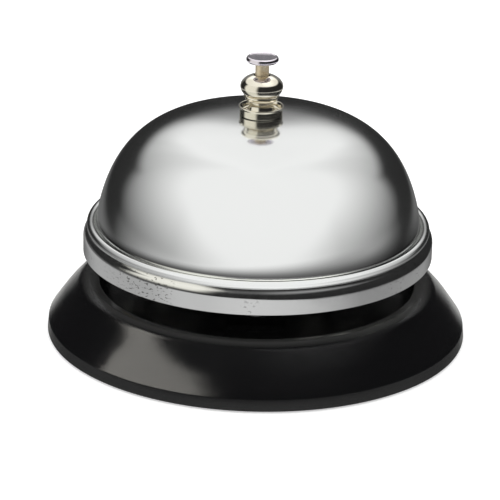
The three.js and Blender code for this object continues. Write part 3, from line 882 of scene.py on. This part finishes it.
class Room(Graph):
    """Brightness round the bell by direction, for the world and for the glowing shells.

    rise is a direction's height: -1 straight down, 0 level and 1 straight up.
    side is -1 at the left, 0 in front or behind, and 1 at the right. right is 0 on the left half.
    behind is 0 straight in front of the bell, 0.5 at its sides and 1 straight behind it.
    """

    def __init__(self, tree, direction):
        super().__init__(tree)
        parts = self.add("ShaderNodeSeparateXYZ", Vector=direction)
        self.rise = parts.outputs["Z"]
        level = self.add("ShaderNodeMapping", Vector=direction, Scale=(1, 1, 0))
        unit = self.add("ShaderNodeVectorMath", Vector=level.outputs["Vector"])
        unit.operation = "NORMALIZE"
        flat = self.add("ShaderNodeSeparateXYZ", Vector=unit.outputs["Vector"])
        self.side = flat.outputs["X"]
        self.right = self.math("MAXIMUM", self.side, 0.0)
        self.behind = self.ranged(flat.outputs["Y"], -1.0, 1.0)

    def step(self, value, low, high):
        return self.ranged(value, low, high, 0, 1, smooth=True)

    def product(self, first, *others):
        for other in others:
            first = self.math("MULTIPLY", first, other)
        return first

    def total(self, first, *others):
        for other in others:
            first = self.math("ADD", first, other)
        return first

    def tinted(self, strength, colour):
        node = self.add("ShaderNodeVectorMath", Vector=colour[:3])
        node.operation = "SCALE"
        self.put(node.inputs["Scale"], strength)
        return node.outputs["Vector"]

    def total_colours(self, first, second):
        node = self.add("ShaderNodeVectorMath", Vector=first)
        node.operation = "ADD"
        self.put(node.inputs[1], second)
        return node.outputs["Vector"]

    def dim(self):
        """The unlit room: nearly dark, lighter overhead, to the right and high behind."""
        top = self.product(self.step(self.rise, 0.6, 1), 0.1)
        right = self.product(self.right, self.step(self.rise, 0.6, 1), 0.35)
        back = self.product(self.step(self.behind, 0.88, 1), self.step(self.rise, 0.35, 0.6), 0.6)
        return self.total(top, right, back, 0.02)

    def table(self):
        """The pale floor, which is in shade behind the bell."""
        shades = (0, 0.6), (0.3, 0.5), (0.5, 0.4), (0.63, 0.28), (0.75, 0.18), (1, 0.12)
        return self.curve(self.behind, *shades)

    def low_light(self):
        """The floor's light on what mirrors it."""
        return self.product(self.step(self.rise, -0.14, -0.24), self.table())

    def bright(self):
        """What the dome mirrors: white in front and above, falling to dark low behind it."""
        brightest = 0.96
        level = self.curve(
            self.behind,
            (0, 0.93), (0.07, 0.78), (0.15, 0.62), (0.25, 0.44),
            (0.5, 0.24), (0.63, 0.14), (0.76, 0),
        )
        level = self.total(level, self.product(self.right, 0.05))
        slopes = (0.65, 0.45), (0.85, 0.5), (0.93, 0.62), (0.98, 0.9), (1, 1.1)
        slope = self.product(self.curve(self.behind, *slopes), 2.0)
        wall = self.total(level, self.product(self.rise, slope))
        wall = self.math("MINIMUM", wall, brightest)
        high, ahead = self.step(self.rise, 0.25, 0.46), self.step(self.behind, 0.85, 0.72)
        above = self.product(wall, self.math("MAXIMUM", high, ahead))
        depths = (0, 0.98), (0.25, 0.6), (0.5, 0.3), (0.62, 0.18), (0.76, 0.03), (1, 0)
        under = self.curve(self.behind, *depths)
        under = self.total(under, self.product(self.right, self.step(self.behind, 0.7, 0.4), 0.2))
        under = self.math("MINIMUM", under, 1.0)
        return self.blended(self.step(self.rise, -0.06, 0.02), under, above)

    def cream(self):
        """A wide cream reflector at the left."""
        return self.product(
            self.step(self.side, -0.45, -0.72),
            self.step(self.behind, 0.62, 0.5),
            self.step(self.rise, 0.97, 0.85),
        )

    def fittings(self, lean, edge):
        """Round the crown: soft cream at the left, grey behind, and white above an edge."""
        left = self.product(self.step(self.side, -0.26, -0.62), self.step(self.behind, 0.66, 0.5))
        grey = self.tinted(self.product(self.step(self.behind, 0.85, 0.97), 0.2), WHITE)
        level = self.total(self.rise, self.product(self.behind, 2 * lean), -lean)
        shown = self.blended(left, grey, CREAM)
        blur = 0.06
        return self.blended(self.step(level, edge - blur, edge + blur), shown, OVERHEAD)

    def again(self):
        """1 for a ray that an earlier piece has mirrored too, and 0 for a first reflection."""
        depth = self.add("ShaderNodeLightPath").outputs["Glossy Depth"]
        return self.step(depth, 1.4, 1.6)


def studio():
    """A dim room for mirrored rays. The camera and matt surfaces see plain white."""
    world = bpy.data.worlds.new("studio")
    bpy.context.scene.world = world
    world.use_nodes = True
    tree = world.node_tree
    tree.nodes.clear()
    room = Room(tree, tree.nodes.new("ShaderNodeTexCoord").outputs["Generated"])
    mirrored = room.add("ShaderNodeLightPath").outputs["Is Glossy Ray"]
    shown = room.blended(mirrored, PURE, room.dim())
    background = room.add("ShaderNodeBackground", Color=shown, Strength=1.0)
    output = tree.nodes.new("ShaderNodeOutputWorld")
    tree.links.new(background.outputs["Background"], output.inputs["Surface"])


def lit_only(light, *pieces):
    """Keeps a light to these pieces."""
    group = bpy.data.collections.new(light.name + "_receivers")
    for piece in pieces:
        group.objects.link(piece)
    light.light_linking.receiver_collection = group


def shell(name, radius, colour_of, *pieces):
    """A large glowing shell round the bell that only these pieces mirror."""
    rows, columns = 24, 48
    lowest, highest = -60, 89.9
    vertices, faces = [], []
    for i in range(rows + 1):
        tilt = math.radians(lowest + (highest - lowest) * i / rows)
        for k in range(columns):
            turn = 2 * math.pi * k / columns
            across = radius * math.cos(tilt)
            up = radius * math.sin(tilt)
            vertices.append((across * math.cos(turn), across * math.sin(turn), up))
    for i in range(rows):
        for k in range(columns):
            n = (k + 1) % columns
            row, above = i * columns, (i + 1) * columns
            faces.append((row + n, row + k, above + k, above + n))
    mesh = bpy.data.meshes.new(name)
    mesh.from_pydata(vertices, [], faces)
    glowing = placed(name, mesh)
    material = bpy.data.materials.new(name)
    material.use_nodes = True
    tree = material.node_tree
    tree.nodes.clear()
    direction = tree.nodes.new("ShaderNodeVectorMath")
    direction.operation = "NORMALIZE"
    tree.links.new(tree.nodes.new("ShaderNodeTexCoord").outputs["Object"], direction.inputs[0])
    room = Room(tree, direction.outputs["Vector"])
    light = room.add("ShaderNodeEmission", Color=colour_of(room), Strength=1.0)
    clear = tree.nodes.new("ShaderNodeBsdfTransparent")
    both = tree.nodes.new("ShaderNodeAddShader")
    tree.links.new(light.outputs[0], both.inputs[0])
    tree.links.new(clear.outputs[0], both.inputs[1])
    output = tree.nodes.new("ShaderNodeOutputMaterial")
    tree.links.new(both.outputs[0], output.inputs["Surface"])
    mesh.materials.append(material)
    glowing.visible_camera = False
    glowing.visible_diffuse = False
    glowing.visible_shadow = False
    glowing.visible_transmission = False
    lit_only(glowing, *pieces)


def dome_glow(room):
    """White on the dome. Where other pieces mirror the dome, they see the small fittings' light."""
    above = room.math("MAXIMUM", room.math("SUBTRACT", room.bright(), room.dim()), 0.0)
    glow = room.math("MAXIMUM", above, room.low_light())
    return room.blended(room.again(), room.tinted(glow, PURE), room.fittings(0.0, 0.86))


def fitting_glow(room):
    """Round the small fittings, white steeply below. What they mirror is lit from lower angles."""
    again = room.again()
    low = room.product(again, room.step(room.rise, 0.0, -0.1))
    low = room.math("MAXIMUM", low, room.step(room.rise, -0.27, -0.47))
    level = room.blended(again, room.fittings(0.2, 0.62), room.fittings(0.1, 0.5))
    return room.blended(low, level, WHITE)


def rim_glow(room):
    """Cream at the left, and a floor that darkens to the sides and reaches higher at the left."""
    cream = room.tinted(room.product(room.cream(), room.step(room.rise, 0.08, 0.6)), CREAM)
    level = room.total(room.rise, room.ranged(room.side, -0.1, 0.6, -0.24, 0.0))
    floor_light = room.curve(
        room.behind,
        (0, 0.62), (0.07, 0.56), (0.2, 0.42), (0.35, 0.28),
        (0.5, 0.27), (0.9, 0.3), (0.97, 0.15),
    )
    floor_light = room.product(floor_light, room.step(level, -0.28, -0.36))
    left = room.product(room.step(room.side, -0.5, -0.85), room.step(room.rise, 0.16, 0.0), 0.12)
    return room.total_colours(cream, room.tinted(room.total(floor_light, left), PURE))


def base_glow(room):
    """White low behind, which edges the base, and a bent key panel at the left."""
    low = room.product(room.step(room.rise, -0.4, -0.3), room.step(room.rise, 0.08, 0.0))
    low = room.product(low, room.step(room.behind, 0.93, 0.98), 0.6)
    low = room.total(low, room.low_light())
    blur, panel_strength = 0.05, 3.4
    feet = (0.5, 0.2), (0.53, 0.6), (0.6, 0.64), (0.85, 0.77), (0.93, 0.8)
    heads = (0.04, 0.68), (0.2, 0.72), (0.35, 0.75), (0.47, 0.78), (0.63, 0.86)
    over_foot = room.math("SUBTRACT", room.rise, room.curve(room.behind, *feet))
    under_head = room.math("SUBTRACT", room.curve(room.behind, *heads), room.rise)
    in_front = room.product(room.step(room.behind, 0.52, 0.47), room.step(room.rise, -0.1, 0.4))
    panel = room.product(
        room.math("MAXIMUM", room.step(over_foot, -blur, blur), in_front),
        room.step(under_head, -blur, blur),
        room.step(room.side, -0.1, -0.3),
        room.step(room.behind, 0.02, 0.12),
        panel_strength,
    )
    return room.total_colours(room.tinted(low, WHITE), room.tinted(panel, KEY_TINT))


def inner_glow(room):
    """The hidden pieces see the floor, and some white all round."""
    return room.tinted(room.total(room.low_light(), 0.2), PURE)


camera()
floor()
studio()

base = base_pan()
foot = foot_ring()
dome, rim = bell_dome()
collar = bell_collar()
knob = finial_knob()
rod = plunger_rod()
button = plunger_button()
hidden = [foot, return_spring(), striker_spring(), *mechanism()]

reflectors = (
    ("dome_reflector", dome_glow, [dome]),
    ("fitting_reflector", fitting_glow, [collar, knob, rod, button]),
    ("rim_reflector", rim_glow, [rim]),
    ("base_reflector", base_glow, [base]),
    ("inner_reflector", inner_glow, hidden),
)
for i, (name, colour_of, pieces) in enumerate(reflectors):
    shell(name, SHELL_RADIUS + SHELL_GAP * i, colour_of, *pieces)
bpy.context.scene.view_settings.view_transform = "Standard"
